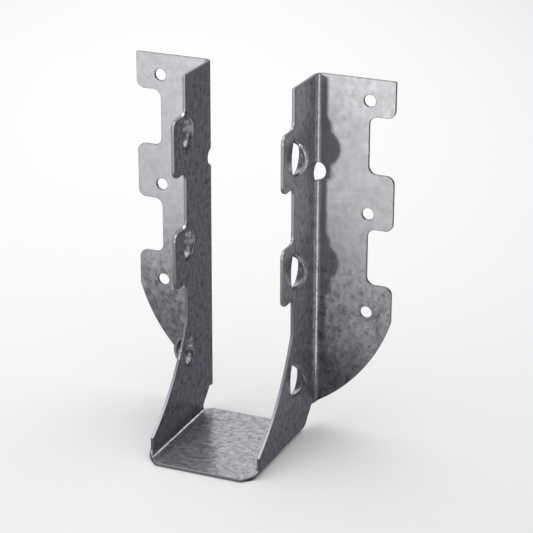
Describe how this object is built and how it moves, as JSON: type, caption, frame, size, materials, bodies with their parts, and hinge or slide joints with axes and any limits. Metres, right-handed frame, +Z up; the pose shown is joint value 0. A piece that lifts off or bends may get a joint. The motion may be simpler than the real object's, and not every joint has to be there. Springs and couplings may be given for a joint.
{
  "type": "joist hanger",
  "caption": "Face-mount joist hanger folded from galvanised sheet, with stepped nailing flanges, walls with domed nail guides and a flat seat.",
  "frame": {"origin": "midway between the walls, in the plane of the flange backs that meets the header, level with the seat's underside", "axes": "+X across the joist towards the right flange as seen from the joist, +Y into the header, +Z up along the joist's depth"},
  "size_m": [0.099, 0.058, 0.1324],
  "materials": {
    "galvanised_steel": "hot-dip galvanised sheet with a fine spangle, new and clean, fairly glossy"
  },
  "bodies": {
    "root": {"hanger": "galvanised_steel"}
  },
  "joints": []
}
